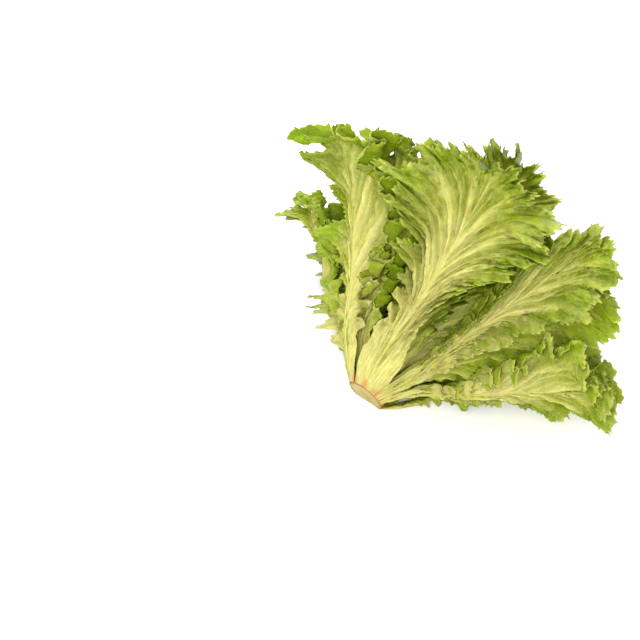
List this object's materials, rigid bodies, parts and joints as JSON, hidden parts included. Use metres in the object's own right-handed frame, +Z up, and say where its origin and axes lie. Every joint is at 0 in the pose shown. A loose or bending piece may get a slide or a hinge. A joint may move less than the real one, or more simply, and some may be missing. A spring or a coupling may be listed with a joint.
{
  "type": "leaf lettuce",
  "caption": "Head of green leaf lettuce lying on its side, with a cut stem, pale ribs and widely fanned, ruffled leaves.",
  "frame": {"origin": "middle of the head's bounding box, on the surface that it lies on", "axes": "+Z up from the surface, +Y from the cut stem towards the leaf tips, +X to the head's right as seen from the stem end"},
  "size_m": [0.3894, 0.234, 0.2208],
  "materials": {
    "leaf": "satin fresh leaf",
    "heart_leaf": "satin fresh leaf",
    "stem": "moist cut stem"
  },
  "bodies": {
    "root": {"fourth_leaf_1": "heart_leaf", "fourth_leaf_2": "heart_leaf", "fourth_leaf_3": "heart_leaf", "heart_leaf_1": "heart_leaf", "heart_leaf_2": "heart_leaf", "outer_leaf_bottom": "leaf", "outer_leaf_left": "leaf", "outer_leaf_lower_left": "leaf", "outer_leaf_lower_right": "leaf", "outer_leaf_right": "leaf", "outer_leaf_top": "leaf", "outer_leaf_upper_left": "leaf", "outer_leaf_upper_right": "leaf", "second_leaf_1": "leaf", "second_leaf_2": "leaf", "second_leaf_3": "leaf", "second_leaf_4": "leaf", "second_leaf_5": "leaf", "second_leaf_6": "leaf", "second_leaf_7": "leaf", "stem": "stem", "third_leaf_1": "leaf", "third_leaf_2": "leaf", "third_leaf_3": "leaf", "third_leaf_4": "leaf", "third_leaf_5": "leaf"}
  },
  "joints": []
}
